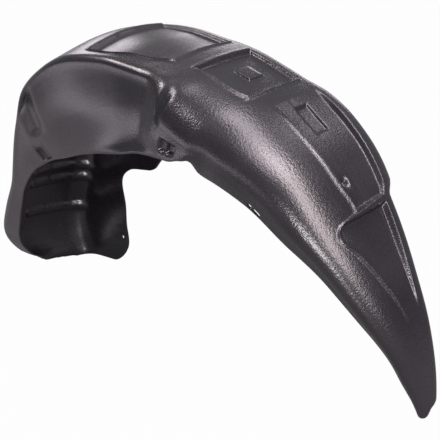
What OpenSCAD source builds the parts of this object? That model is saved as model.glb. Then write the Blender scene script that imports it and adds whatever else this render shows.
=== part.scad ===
// Wheel arch liner, moulded in one piece from thin black plastic sheet.
// The origin is on the wheel's axis, in the plane of the back wall. +Z is up, the tail
// points along +X, the front leg along -X, and the open flank faces -Y.
// Angles run about the axis: 0 at the tail, 90 at the top, 180 at the front leg.

/* [Arch] */
// Radius of the crown over the tyre
crown_r = 362; // [345:1:385]
// How far the crown swells out over the front leg
swell = 26; // [18:1:34]
// How much the crown arches between its two shoulders
crown_arch = 7; // [4:0.5:9]
// Depth of the liner from its back wall to the front lip
arch_depth = 188; // [178:1:200]
// Height of the front flank at its deepest, from the crown in to the lip
flank_h = 142; // [130:1:150]
// Width of the back wall at its widest
back_wall_w = 166; // [150:1:175]
// Thickness of the moulded sheet
wall = 2.4; // [1.8:0.1:3]

/* [Ends] */
// Angle below the axis at which the tail's point ends
tail_angle = 5.2; // [3:0.2:8]
// How much sooner the tail ends at the back wall
tail_slant = 4.5; // [3:0.5:6]
// Angle at which the front leg ends, measured from the tail's side
leg_angle = 191.1; // [189:0.5:194]
// How much further the leg reaches at its back wall
leg_slant = 3.8; // [3:0.2:5]

/* [Edges] */
// Reach of the broad shoulder along the crown
shoulder_reach = 92; // [80:1:100]
// Round of the corner between crown and back wall
corner_round = 12; // [9:1:14]
// Height of the raised rim along the back corner
rim_rise = 8; // [6:0.5:12]
// How far the front flank swells outwards
flank_bulge = 6; // [2:1:9]
// Width of the folded flange along the tail's lip
flange_w = 17; // [14:1:20]
// Round of the fold between flank and flange
fold_round = 3; // [2:0.5:4]

/* [Crown panels] */
// Depth of the sunk panels
panel_sink = 5; // [3:0.5:7]
// Depth of the tail panel where it meets the ridge
tail_sink = 7.5; // [4:0.5:8.5]
// Height of the rounded bead round the panels
bead_h = 1.5; // [0.5:0.5:2.5]
// Width of the sloped walls round the panels, in degrees along the crown
panel_wall = 1.1; // [0.8:0.1:1.4]
// Margin between the panels and the back corner
panel_margin = 15; // [14:1:18]
// Slant of the panels' cross edges, in degrees
panel_skew = 2.2; // [1:0.1:3]
// Angle at which the tapered tail panel begins
tail_panel_low = 18; // [16:0.5:20]
// Angle at which the tail panel ends
tail_panel_high = 40.6; // [39.6:0.2:40.8]
// Angle at which the long side panel begins
side_panel_low = 41.2; // [41:0.2:42.4]
// Angle at which the side panel ends
side_panel_high = 66.6; // [66:0.2:68]
// Angle at which the upper panel begins
upper_panel_low = 70.4; // [69.6:0.2:71.4]
// Angle at which the upper panel ends
upper_panel_high = 85.6; // [85:0.2:88]
// Angle at which the broad top panel begins
top_panel_low = 91.4; // [90:0.2:93]
// Angle at which the top panel ends
top_panel_high = 113; // [111:0.5:115]
// Height of the raised pad in the upper panel
pad_rise = 3; // [1:0.5:4]
// Angle at the middle of the raised pad
pad_angle = 77.9; // [77:0.1:80]
// Width of the raised pad, in degrees
pad_w = 5.2; // [4:0.2:6]
// Depth of the narrow pocket in the side panel
pocket_sink = 3; // [1:0.5:4]
// Angle at the middle of the narrow pocket
pocket_angle = 60.6; // [59:0.2:61.6]
// Length of the narrow pocket, in degrees
pocket_w = 7.2; // [6:0.2:8.4]
// Angle of the small dimple in the side panel
dimple_angle = 47.2; // [46:0.2:49]

/* [Leg ribs] */
// Height of the ribs pressed in across the leg
rib_h = 4.5; // [2:0.5:6]
// Angle of the uppermost rib
upper_rib = 168.8; // [168:0.2:169]
// Angle of the rib close below it
middle_rib = 172.4; // [172.4:0.2:173.6]
// Angle of the lowest rib
lower_rib = 181; // [179:0.2:182]
// Width of each rib, in degrees
rib_w = 3.4; // [3:0.1:3.4]

/* [Flank] */
// Depth of the groove where the tail's shoulder begins
groove_sink = 4; // [2:0.5:6]
// Angle of the groove
groove_angle = 83; // [82.4:0.2:84]
// Depth of the crescent in the flank's front corner
crescent_sink = 8; // [4:0.5:9]
// Angle at the middle of the crescent
crescent_angle = 141.5; // [138:0.5:143]
// Length of the crescent, in degrees
crescent_w = 14; // [12:1:16]

/* [Lip pockets] */
// Depth of the two small pockets at the lip
lip_pocket_sink = 5; // [2:0.5:6]
// Angle at the middle of the pocket beside the flange
near_pocket_angle = 77.2; // [76:0.2:78]
// Length of the pocket beside the flange, in degrees
near_pocket_w = 6.4; // [5:0.2:7]
// Angle at the middle of the pocket above the leg
leg_pocket_angle = 145.4; // [144:0.2:147]
// Length of the pocket above the leg, in degrees
leg_pocket_w = 6.2; // [5:0.2:7]

/* [Fastening] */
// Bore of the clip hole in the leg's back wall
clip_bore = 6.5; // [5:0.5:8]
// Angle at which the clip hole lies
clip_angle = 186; // [183:0.5:188]
// Distance of the clip hole from the back wall's edge
clip_inset = 14; // [12:1:24]
// Width of the slots in the flange
slot_w = 6; // [4:0.5:6]
// Length of the short slot
short_slot = 6.4; // [6.2:0.2:8]
// Length of the long slot
long_slot = 12; // [9:0.5:14]
// Web left between the two slots
slot_web = 1.6; // [1:0.2:2.5]
// Angle at which the slots lie
slot_angle = 49.2; // [46:0.2:54]

/* [Hidden] */
$fn = 48;

// Share of the swell by which the crown stands outside crown_r, by angle
CROWN_WAVE = [[-8, 0.4], [2, 0.27], [14, 0.02], [26, -0.19], [38, -0.08], [52, 0.23], [64, 0.15],
    [78, -0.15], [92, -0.17], [104, 0.23], [115, 0.7], [121, 0.85], [137, 0.97], [150, 0.8],
    [166, 0.44], [174, 0.69], [183, 1.15], [198, 1.08]];
// Share of crown_arch, by angle
ARCH_RUN = [[-8, 1], [98, 1], [108, 1.4], [116, 2], [124, 1.3], [136, 1], [198, 1]];
// Lip by angle: share of arch_depth, and share of flank_h below the crown
LIP_RUN = [[-8, 0.085, 0.05], [-2, 0.16, 0.09], [3, 0.23, 0.14], [8, 0.29, 0.17], [18, 0.45, 0.2],
    [30, 0.61, 0.245], [40, 0.745, 0.31], [51, 0.845, 0.385], [60, 0.925, 0.43],
    [64.5, 0.95, 0.465], [67, 0.98, 0.43], [69, 1, 0.49], [72, 1, 0.57], [77, 0.99, 0.635],
    [90, 0.98, 0.76], [104, 0.97, 0.915], [118, 0.95, 1], [132, 0.925, 0.945],
    [146, 0.895, 0.725], [156, 0.885, 0.52], [166, 0.87, 0.375], [176, 0.86, 0.365],
    [184, 0.79, 0.33], [188, 0.67, 0.21], [192, 0.49, 0.035], [198, 0.49, 0.035]];
// Shoulder by angle: share of arch_depth, fall below the crown in mm, share of
// shoulder_reach along the crown, and reach down the flank in mm
SHOULDER_RUN = [[-8, 0.075, 2, 0.07, 3], [0, 0.21, 6, 0.18, 8], [10, 0.38, 6, 0.4, 16],
    [24, 0.605, 6, 0.66, 24], [40, 0.805, 6, 0.92, 34], [60, 0.945, 6, 1, 44],
    [78, 0.97, 8, 0.7, 34], [81.5, 0.94, 8, 0.5, 26], [84.5, 0.885, 8, 0.2, 14],
    [90, 0.83, 8, 0.12, 9], [100, 0.87, 8, 0.1, 8], [115, 0.925, 12, 0.1, 8],
    [126, 0.935, 12, 0.1, 8], [137, 0.92, 8, 0.1, 8], [150, 0.86, 5, 0.12, 10],
    [165, 0.85, 4, 0.2, 16], [176, 0.86, -4, 0.22, 18], [184, 0.8, -6, 0.18, 14],
    [188, 0.68, -4, 0.1, 8], [192, 0.49, 0, 0.03, 1.5], [198, 0.49, 0, 0.03, 1.5]];
// Share of rim_rise that the back rim stands up, by angle
RIM_RUN = [[-8, 0], [40.4, 0], [43.4, 0.9], [50, 1], [57, 1], [63, 0.75], [71, 0], [198, 0]];
// Share of back_wall_w that the back wall is wide, by angle
BACK_RUN = [[-8, 0.04], [0, 0.07], [20, 0.09], [60, 0.09], [90, 0.09], [104, 0.13], [116, 0.445],
    [128, 0.825], [138, 1], [144, 0.975], [150.6, 0.925], [151.6, 0.905], [154.6, 0.81],
    [160, 0.61], [166, 0.505], [174, 0.625], [186, 0.73], [192, 0.64], [198, 0.4]];
// Share of flange_w that the flange is wide, by angle
FLANGE_RUN = [[-8, 0.06], [8, 0.18], [20, 0.53], [30, 0.76], [50, 1], [62, 0.94], [64.5, 0.82],
    [67, 0.47], [71, 0.12], [198, 0.12]];
// Share of arch_depth at which the panels' front edge runs, by angle
PANEL_RUN = [[-8, 0.09], [10, 0.16], [17.2, 0.218], [26.2, 0.322], [31.5, 0.394], [36.2, 0.473],
    [38.2, 0.44], [39.5, 0.355], [45, 0.394], [56.8, 0.457], [62.8, 0.481], [66, 0.51],
    [69, 0.55], [76, 0.593], [83.8, 0.609], [89.8, 0.63], [93.2, 0.68], [99.5, 0.74],
    [103.5, 0.805], [111.8, 0.824], [135, 0.84], [150, 0.8], [176, 0.8], [184, 0.76],
    [188, 0.64], [192, 0.46], [198, 0.46]];
// Shares of the panels' width between which pad and pocket lie, by angle
PAD_RUN = [[-8, 0.37, 0.71], [62, 0.37, 0.71], [72, 0.33, 0.64], [198, 0.33, 0.64]];
// How many times corner_round the back corner is rounded, by angle
CORNER_RUN = [[-8, 1], [98, 1], [116, 1.5], [140, 2.8], [198, 2.8]];
// Share of pocket_lift by which the lip pockets stand above the fold, by angle
POCKET_RUN = [[-8, 1], [90, 1], [125, 0], [198, 0]];
// Share of flank_bulge by which the flank swells outwards, by angle
BULGE_RUN = [[84, 0], [98, 1], [140, 1], [160, 0]];
// How hollow the flank is above the lip, by angle
HOLLOW_RUN = [[60, 0], [72, 1], [150, 1], [165, 0]];

// Places of the flank's lines above the fold, in mm
FLANK_LINES = [0, 3, 5.5, 18, 31, 34, 54, 200];
// Parts of a ring: fold, flank, shoulder, panel, corner and back wall
FOLD_END = 3;
FLANK_END = FOLD_END + len(FLANK_LINES) - 1;
SHOULDER_STEPS = 7;
PANEL_EDGE = FLANK_END + SHOULDER_STEPS;
PANEL_BACK = PANEL_EDGE + 9;
CORNER_END = PANEL_BACK + 3;
WALL_STEPS = 4;
RING_END = CORNER_END + WALL_STEPS;
// Share of the rim's height on each line over a panel, from its front edge to its back one
RIM_RISE = [0, 0, 0.03, 0.13, 0.15, 0.4, 0.43, 0.6, 0.8, 1];
// Width of a panel's front and back wall, and of the walls round pad and pocket
wall_run = 4;
pad_run = 2.5;
pad_wall = panel_wall * 0.7;
// Lift of the pocket beside the flange above the fold
pocket_lift = 8;
// Widths of the pocket's fin, the dimple, the groove and the beads, in degrees
fin_w = 0.5;
dimple_w = 3.4;
groove_w = 4;
bead_w = 1.4;
// Angles over which the tail panel and the side panel reach their depth
tail_fade = 14;
side_fade = 6;
// How full the bend of the shoulder is, and how much longer than its chord
fullness = 0.62;
bend_gain = 1.1;
// Depth from which the crown arches in full
full_arch = 150;
// How much closer the back wall's lines stand at its edge
wall_spread = 1.6;
// Widest and narrowest step between two rings, in degrees
ring_step = 6;
least_step = 0.25;
// Angles between which the tail's and the leg's rings turn to their slanted ends
tail_turn = 13;
leg_turn = 184;
// Angle at which the back wall's edge turns down to the leg
wall_corner = 151.2;
// Angle by which the leg's outer back corner is rounded off
leg_round = 5.5;
// Angle by which the tail's tip is rounded off, and the share of its depth that this takes
tip_round = 0.5;
tip_share = 0.3;
// Length of the cutters, and where across the flange the slots lie
cutter = 24;
slot_share = 0.66;
// Spans of the panels, the pad and the pockets
tail_panel = [tail_panel_low, tail_panel_high];
side_panel = [side_panel_low, side_panel_high];
upper_panel = [upper_panel_low, upper_panel_high];
top_panel = [top_panel_low, top_panel_high];
pad_span = span_at(pad_angle, pad_w);
pocket_span = span_at(pocket_angle, pocket_w);
near_pocket = span_at(near_pocket_angle, near_pocket_w);
leg_pocket = span_at(leg_pocket_angle, leg_pocket_w);
rib_angles = [upper_rib, middle_rib, lower_rib];

function clamp(v, low = 0, high = 1) = min(max(v, low), high);
function span_at(middle, w) = [middle - w / 2, middle + w / 2];
function mix(p, q, t) = p + (q - p) * t;
function toward(p, q, reach) = norm(q - p) < 0.001 ? p : p + (q - p) * reach / norm(q - p);
// Rises from 0 to 1 over one wall inside a span and falls again at its end
function ramp(a, span, w) = clamp((a - span[0]) / w) * clamp((span[1] - a) / w);
// Smooth hump, 1 at the middle and 0 at half the width on either side
function hump(a, middle, w) = abs(a - middle) >= w / 2 ? 0 : (1 + cos(360 * (a - middle) / w)) / 2;

// Rounded step from 0 to 1
function eased(t) = let (u = clamp(t)) u * u * (3 - 2 * u);

// Smooth curve through the values k of a run, by angle
function rise(run, i, k) = (run[i + 1][k] - run[i][k]) / (run[i + 1][0] - run[i][0]);
function slope(run, i, k) =
    i == 0 ? rise(run, 0, k) :
    i == len(run) - 1 ? rise(run, i - 1, k) :
    let (p = rise(run, i - 1, k), q = rise(run, i, k),
         before = run[i][0] - run[i - 1][0], after = run[i + 1][0] - run[i][0],
         mean = (p * after + q * before) / (before + after))
    p * q <= 0 ? 0 : sign(mean) * min(abs(mean), 3 * min(abs(p), abs(q)));
function at(run, a, k = 1) =
    let (i = max([for (n = [0:len(run) - 2]) if (n == 0 || a >= run[n][0]) n]),
         h = run[i + 1][0] - run[i][0], t = clamp((a - run[i][0]) / h))
    (2 * t^3 - 3 * t^2 + 1) * run[i][k] + (t^3 - 2 * t^2 + t) * h * slope(run, i, k)
    + (3 * t^2 - 2 * t^3) * run[i + 1][k] + (t^3 - t^2) * h * slope(run, i + 1, k);

// Corners of the section at an angle, each as [radius, depth]: the flange's edge, the lip,
// the shoulder, the back corner and the back wall's edge
function crown(a) = crown_r + swell * at(CROWN_WAVE, a);
function lip(a) = [crown(a) - flank_h * at(LIP_RUN, a, 2), arch_depth * at(LIP_RUN, a, 1)];
function shoulder(a) = [crown(a) - at(SHOULDER_RUN, a, 2), arch_depth * at(SHOULDER_RUN, a, 1)];
function corners(a) =
    let (r = crown(a), edge = lip(a), w = flange_w * at(FLANGE_RUN, a))
    [edge + [-w, -w / 4], edge, shoulder(a), [r, 0], [r - back_wall_w * at(BACK_RUN, a), 0]];

// A quadratic bend from p to q round the corner c
function bend(p, c, q, t) = mix(mix(p, c, t), mix(c, q, t), t);
// A fuller bend for the shoulder
function sweep(p, c, q, t) =
    let (m = mix(p, c, fullness), n = mix(q, c, fullness))
    (1 - t)^3 * p + 3 * t * (1 - t)^2 * m + 3 * t^2 * (1 - t) * n + t^3 * q;

// Point of the bare section on line j at an angle
function line_point(a, j) =
    let (c = corners(a), fold = min(fold_round, norm(c[0] - c[1]) * 0.6),
         from_lip = toward(c[1], c[2], fold))
    j == 0 ? c[0] :
    j < FOLD_END ? bend(toward(c[1], c[0], fold), c[1], from_lip, (j - 1) / 2) :
    let (flank_top = toward(c[2], c[1], min(at(SHOULDER_RUN, a, 4), norm(c[2] - c[1]) * 0.8)))
    j < FLANK_END ? flank_point(a, from_lip, flank_top, j - FOLD_END) :
    let (depth = norm(c[2] - c[3]),
         reach = min(shoulder_reach * at(SHOULDER_RUN, a, 3), depth * 0.7),
         crown_end = toward(c[2], c[3], reach), crown_len = depth - reach,
         bend_len = norm(flank_top - crown_end) * bend_gain,
         round = min(corner_round * at(CORNER_RUN, a), norm(c[4] - c[3]) * 0.7, depth * 0.3),
         far = max(min(panel_margin, depth * 0.4), round + 3),
         near = clamp(arch_depth * at(PANEL_RUN, a), far + 2, crown_len + bend_len * 0.9),
         arc = [c[2], c[3], flank_top, crown_end, crown_len, bend_len])
    j <= PANEL_BACK ?
        crown_point(a, arc, j > PANEL_EDGE ? panel_line(a, far, near, j - PANEL_EDGE) :
            mix(crown_len + bend_len, near, (j - FLANK_END) / SHOULDER_STEPS)) :
    let (wall_top = toward(c[3], c[4], round))
    j > CORNER_END ? mix(wall_top, c[4], 1 - ((RING_END - j) / WALL_STEPS) ^ wall_spread) :
    let (start = crown_point(a, arc, round), way = start - crown_point(a, arc, round + 1))
    bend(start, start - way * start[1] / way[1], wall_top, (j - PANEL_BACK - 1) / 2);

// Point of crown and shoulder at the distance s from the back corner
function crown_point(a, arc, s) =
    let (depth = norm(arc[0] - arc[1]),
         arch = crown_arch * at(ARCH_RUN, a) * sin(180 * clamp(s / depth)) * min(1, depth / full_arch))
    [arch, 0] + (s <= arc[4] ? toward(arc[1], arc[0], s) :
        sweep(arc[3], arc[0], arc[2], (s - arc[4]) / arc[5]));

// Distance of a panel line from the back corner: k runs from the front edge to the back one
function panel_line(a, far, near, k) =
    let (w = min(wall_run, (near - far) * 0.2), low = far + w, high = near - w,
         pad_low = mix(low, high, at(PAD_RUN, a, 1)), pad_high = mix(low, high, at(PAD_RUN, a, 2)),
         pw = min(pad_run, (pad_high - pad_low) * 0.3))
    [near, high, (high + pad_high) / 2, pad_high, pad_high - pw, pad_low + pw, pad_low,
     (pad_low + low) / 2, low, far][k];

// Point of the flank, k lines above the fold: hollow above the lip, as a flared lip leaves it
function flank_point(a, low, high, k) =
    let (len = norm(high - low), raised = FLANK_LINES[k] + pocket_lift * at(POCKET_RUN, a) * min(k, 1),
         t = min(raised, len * k / (len(FLANK_LINES) - 1)) / len,
         keep = mix(1 - t, (1 - t)^3, at(HOLLOW_RUN, a)), swollen = 16 * t^2 * (1 - t)^2)
    [mix(low[0], high[0], t), mix(high[1], low[1], keep) + flank_bulge * at(BULGE_RUN, a) * swollen];

// How far line j stands out of the bare section at an angle
function lift(a, j) =
    panels_lift(a, j)
    + (pad_rise * ramp(a, pad_span, pad_wall) - pocket_sink * ramp(a, pocket_span, pad_wall))
        * (j == PANEL_EDGE + 4 || j == PANEL_EDGE + 5 ? 1 : 0)
    - pocket_sink * (j == PANEL_EDGE + 2 ? 1 : 0) * hump(a, dimple_angle, dimple_w)
    + rim_rise * at(RIM_RUN, a) * rim_share(j)
    - rib_h * leg_share(j) * max([for (m = rib_angles) hump(a, m, rib_w)])
    - flank_press(a, j);
// The sunk panels, each with a rounded bead along its front edge and its cross edges
function panels_lift(a, j) =
    j < PANEL_EDGE || j >= PANEL_BACK ? 0 :
    let (front = j == PANEL_EDGE ? 1 : 0)
    panel_lift(a, front, tail_panel, tail_sink) * clamp((a - tail_panel[0]) / tail_fade)
    + panel_lift(a, front, side_panel, panel_sink) * clamp((side_panel[1] - a) / side_fade)
    + panel_lift(a, front, upper_panel, panel_sink) + panel_lift(a, front, top_panel, panel_sink);
function panel_lift(a, front, span, sink) =
    bead_h * max(hump(a, span[0], bead_w), hump(a, span[1], bead_w), front * ramp(a, span, panel_wall))
    - sink * (1 - front) * ramp(a, span, panel_wall);
// The two lip pockets, the crescent and the groove where the tail's shoulder begins
function flank_press(a, j) =
    let (k = j - FOLD_END)
    lip_pocket_sink * (k >= 2 && k <= 4 ? 1 : 0) * ramp(a, near_pocket, pad_wall)
        * clamp(abs(a - near_pocket_angle) / fin_w)
    + lip_pocket_sink * (k >= 1 && k <= 3 ? 1 : 0) * ramp(a, leg_pocket, pad_wall)
    + crescent_sink * (j == FLANK_END - 1 || j == FLANK_END ? 1 : 0) * hump(a, crescent_angle, crescent_w)
    + groove_sink * hump(a, groove_angle, groove_w)
        * eased((j - FLANK_END + 1) / 2) * eased((FLANK_END + 4 - j) / 2);
// The rim rises over the panels, takes in the back corner and fades out down the back wall
function rim_share(j) =
    j > CORNER_END ? (j == CORNER_END + 1 ? 0.6 : 0) :
    j < PANEL_EDGE ? 0 : RIM_RISE[min(j, PANEL_BACK) - PANEL_EDGE];
// Ribs run over the crown of the leg and round its back corner
function leg_share(j) = eased((j - PANEL_EDGE - 2) / 1.6) * eased((CORNER_END - j) / 1.5);

// Angle of ring a on line j: cross edges are slanted, and both ends are cut at a slant
function skew(j) = panel_skew * clamp((CORNER_END - j) / (CORNER_END - PANEL_EDGE));
function back_share(j) = clamp((j - FOLD_END) / (RING_END - FOLD_END));
function tail_end(j) =
    let (inward = 1 - clamp(line_point(-tail_angle, j)[1] / lip(-tail_angle)[1]))
    tail_slant * inward ^ 1.2 - tail_angle
    + tip_round * ((1 - clamp(inward / tip_share)) ^ 2 + (1 - clamp(j / FOLD_END)) ^ 2);
function leg_end(j) =
    leg_angle + leg_slant * back_share(j) ^ 1.8 - leg_round * clamp((j - RING_END + 2) / 2) ^ 2.4;
function turned(a, j) =
    let (b = a - skew(j), low = tail_turn - skew(j), high = leg_turn - skew(j))
    a < tail_turn ? low - (tail_turn - a) * (low - tail_end(j)) / (tail_turn + tail_angle) :
    a > leg_turn ? high + (a - leg_turn) * (leg_end(j) - high) / (leg_angle - leg_turn) : b;

// Point of the outer face, or of the inner one a wall's thickness below it
function place(a, p) = [p[0] * cos(a), -p[1], p[0] * sin(a)];
function section(ring) = [for (j = [0:RING_END]) line_point(turned(ring, j), j)];
function face(rings, sections, inner) =
    [for (i = [0:len(rings) - 1]) for (j = [0:RING_END])
        let (d = sections[i][min(j + 1, RING_END)] - sections[i][max(j - 1, 0)],
             out = [-d[1], d[0]] / max(norm(d), 0.001))
        place(turned(rings[i], j),
            sections[i][j] + out * (lift(rings[i], j) - (inner ? wall : 0)))];

// Rings stand where a feature begins or ends, with even steps between
function ends_of(span, w) = [span[0], span[0] + w, span[1] - w, span[1]];
function rib_ends(m) = [m - rib_w / 2, m - rib_w / 4, m, m + rib_w / 4, m + rib_w / 2];
function sorted(v) =
    len(v) == 0 ? [] : let (m = v[floor(len(v) / 2)])
    concat(sorted([for (x = v) if (x < m) x]), [m], sorted([for (x = v) if (x > m) x]));
BREAKS = sorted(concat([-tail_angle, tail_turn, wall_corner, leg_turn, leg_angle],
    [for (span = [tail_panel, side_panel, upper_panel, top_panel]) each ends_of(span, panel_wall)],
    [for (span = [pad_span, pocket_span, near_pocket, leg_pocket]) each ends_of(span, pad_wall)],
    [for (k = [-1:1]) near_pocket_angle + k * fin_w],
    [for (k = [-1:1]) dimple_angle + k * dimple_w / 2],
    [for (k = [-2:2]) groove_angle + k * groove_w / 4],
    [for (k = [-1:1]) crescent_angle + k * crescent_w / 2],
    [for (m = rib_angles) each rib_ends(m)],
    [for (k = [1:3]) mix(leg_turn, leg_angle, k / 4)]));
ORDERED = [for (i = [0:len(BREAKS) - 1])
    if (i == 0 || i == len(BREAKS) - 1 || BREAKS[i + 1] > BREAKS[i] + least_step) BREAKS[i]];
RINGS = concat([for (i = [0:len(ORDERED) - 2])
    let (n = ceil((ORDERED[i + 1] - ORDERED[i]) / ring_step))
    for (k = [0:n - 1]) mix(ORDERED[i], ORDERED[i + 1], k / n)], [leg_angle]);

// The moulded sheet: an outer and an inner face, closed round the edges
module shell() {
    wide = RING_END + 1;
    last = len(RINGS) - 1;
    half = len(RINGS) * wide;
    sections = [for (a = RINGS) section(a)];
    points = concat(face(RINGS, sections, false), face(RINGS, sections, true));
    function quad(p, q, r, s) = [[p, r, q], [p, s, r]];
    outer = [for (i = [0:last - 1]) for (j = [0:RING_END - 1]) let (p = i * wide + j)
        each quad(p, p + 1, p + wide + 1, p + wide)];
    inner = [for (i = [0:last - 1]) for (j = [0:RING_END - 1]) let (p = half + i * wide + j)
        each quad(p, p + wide, p + wide + 1, p + 1)];
    sides = [for (i = [0:last - 1]) let (p = i * wide, q = p + RING_END)
        each concat(quad(p, p + wide, p + wide + half, p + half),
            quad(q, q + half, q + wide + half, q + wide))];
    ends = [for (j = [0:RING_END - 1]) let (p = j, q = last * wide + j)
        each concat(quad(p, p + half, p + half + 1, p + 1),
            quad(q, q + 1, q + half + 1, q + half))];
    polyhedron(points, concat(outer, inner, sides, ends), convexity = 8);
}

// A cutter that runs through the sheet along Y, in front of a given depth
module through(x, z, depth) {
    translate([x, -depth + cutter / 2, z]) rotate([90, 0, 0]) children();
}

// The clip hole in the leg's back wall
module clip_hole() {
    r = corners(clip_angle)[4][0] + clip_inset;
    through(r * cos(clip_angle), r * sin(clip_angle), 0)
        cylinder(d = clip_bore, h = cutter);
}

// A round-ended slot, laid along X
module slot(length) {
    straight = length - slot_w;
    translate([-straight / 2, -slot_w / 2, 0]) cube([straight, slot_w, cutter]);
    for (x = [-straight / 2, straight / 2]) translate([x, 0, 0]) cylinder(d = slot_w, h = cutter);
}

// The pair of slots in the middle of the folded flange
module flange_slots() {
    edge = lip(slot_angle);
    r = edge[0] - flange_w * slot_share;
    whole = short_slot + slot_web + long_slot;
    through(r * cos(slot_angle), r * sin(slot_angle), edge[1])
        rotate([0, 0, slot_angle - 90]) {
            translate([(short_slot - whole) / 2, 0, 0]) slot(short_slot);
            translate([(whole - long_slot) / 2, 0, 0]) slot(long_slot);
        }
}

module liner() {
    color("#26262a") difference() {
        shell();
        clip_hole();
        flange_slots();
    }
}

liner();
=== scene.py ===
"""Dresses the wheel arch liner: its moulded sheet in full detail, the plastic, the studio and the camera.

The sheet is one piece. Its section is worked out at every angle about the wheel's axis from the
driving sizes in ArchSizes, as the solid's own source does, and pressed details are added on top.
Sizes are in millimetres and angles in degrees, 0 at the tail, 90 at the top and 180 at the leg.
"""

from __future__ import annotations

import logging
import math
from bisect import bisect_right
from dataclasses import dataclass, field
from enum import Enum
from functools import lru_cache
from typing import TypeVar

import bmesh
import bpy
from mathutils import Matrix, Vector


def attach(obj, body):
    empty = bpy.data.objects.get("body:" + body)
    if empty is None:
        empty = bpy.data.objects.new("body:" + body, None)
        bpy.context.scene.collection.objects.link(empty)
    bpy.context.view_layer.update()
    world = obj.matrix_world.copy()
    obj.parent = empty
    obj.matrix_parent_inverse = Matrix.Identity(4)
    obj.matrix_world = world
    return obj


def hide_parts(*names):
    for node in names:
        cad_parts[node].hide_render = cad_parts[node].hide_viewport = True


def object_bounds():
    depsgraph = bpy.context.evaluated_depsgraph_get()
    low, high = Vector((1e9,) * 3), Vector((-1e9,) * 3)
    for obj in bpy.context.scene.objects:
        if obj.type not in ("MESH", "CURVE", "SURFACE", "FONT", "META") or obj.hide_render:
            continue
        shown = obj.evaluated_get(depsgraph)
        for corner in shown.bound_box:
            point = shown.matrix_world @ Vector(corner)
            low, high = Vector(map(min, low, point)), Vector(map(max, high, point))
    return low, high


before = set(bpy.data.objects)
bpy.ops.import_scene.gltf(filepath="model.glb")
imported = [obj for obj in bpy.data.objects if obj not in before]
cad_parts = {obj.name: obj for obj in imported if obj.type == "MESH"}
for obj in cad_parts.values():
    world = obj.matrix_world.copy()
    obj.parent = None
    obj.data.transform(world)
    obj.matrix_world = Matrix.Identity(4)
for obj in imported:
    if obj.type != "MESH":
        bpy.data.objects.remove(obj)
CAD_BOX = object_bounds()

MM = 0.001
# A length in mm below which a section has shrunk to nothing
TINY = 0.001
NODE = "liner"

log = logging.getLogger("liner")
Span = tuple[float, float]
Blend = TypeVar("Blend", float, Vector)


def clamp(value: float, low: float = 0.0, high: float = 1.0) -> float:
    """Returns value, kept between low and high."""
    return min(max(value, low), high)


def mix(p: Blend, q: Blend, t: float) -> Blend:
    """Returns the number or point that lies the share t of the way from p to q."""
    return p + (q - p) * t


def toward(p: Vector, q: Vector, reach: float) -> Vector:
    """Returns the point at the distance reach from p on the way to q."""
    gap = (q - p).length
    return p.copy() if gap < TINY else p + (q - p) * (reach / gap)


def eased(t: float) -> float:
    """Returns 0 to 1 with rounded ends, as a moulded step has."""
    t = clamp(t)
    return t * t * (3.0 - 2.0 * t)


def between(value: float, span: Span, run: float) -> float:
    """Returns 1 inside a span and 0 outside it, with a rounded step of width run inside each end."""
    return eased((value - span[0]) / run) * eased((span[1] - value) / run)


def hump(value: float, middle: float, width: float) -> float:
    """Returns a smooth hump: 1 at the middle, 0 at half the width on either side."""
    away = abs(value - middle)
    return 0.0 if away >= width / 2 else (1.0 + math.cos(2.0 * math.pi * away / width)) / 2.0


def span_at(middle: float, width: float) -> Span:
    """Returns the span of a width about its middle."""
    return (middle - width / 2, middle + width / 2)


class Run:
    """A smooth curve through values given by angle, which never overshoots them."""

    def __init__(self, *knots: tuple[float, ...]) -> None:
        """Keeps the knots, each an angle and its values, and works out the slopes there."""
        self.angles = [knot[0] for knot in knots]
        self.values = [list(column) for column in zip(*(knot[1:] for knot in knots))]
        self.slopes = [self._slopes(column) for column in self.values]

    def _slopes(self, column: list[float]) -> list[float]:
        """Returns the slope at each knot, limited so that the curve stays between its knots."""
        steps = [b - a for a, b in zip(self.angles, self.angles[1:])]
        rises = [(b - a) / step for a, b, step in zip(column, column[1:], steps)]
        inner = []
        for p, q, before, after in zip(rises, rises[1:], steps, steps[1:]):
            mean = (p * after + q * before) / (before + after)
            limit = 3.0 * min(abs(p), abs(q))
            inner.append(0.0 if p * q <= 0 else math.copysign(min(abs(mean), limit), mean))
        return [rises[0], *inner, rises[-1]]

    def at(self, angle: float, column: int = 0) -> float:
        """Returns the value in a column at an angle."""
        i = min(max(bisect_right(self.angles, angle) - 1, 0), len(self.angles) - 2)
        step = self.angles[i + 1] - self.angles[i]
        t = clamp((angle - self.angles[i]) / step)
        low, high = self.values[column][i], self.values[column][i + 1]
        leave, arrive = self.slopes[column][i] * step, self.slopes[column][i + 1] * step
        return (
            (2 * t**3 - 3 * t**2 + 1) * low
            + (t**3 - 2 * t**2 + t) * leave
            + (3 * t**2 - 2 * t**3) * high
            + (t**3 - t**2) * arrive
        )


# Share of the swell by which the crown stands outside its radius
CROWN_WAVE = Run(
    (-8, 0.4), (2, 0.27), (14, 0.02), (26, -0.19), (38, -0.08), (52, 0.23), (64, 0.15),
    (78, -0.15), (92, -0.17), (104, 0.23), (115, 0.7), (121, 0.85), (137, 0.97), (150, 0.8),
    (166, 0.44), (174, 0.69), (183, 1.15), (198, 1.08),
)
# Share of the crown's arch
ARCH_RUN = Run((-8, 1), (98, 1), (108, 1.4), (116, 2), (124, 1.3), (136, 1), (198, 1))
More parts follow.
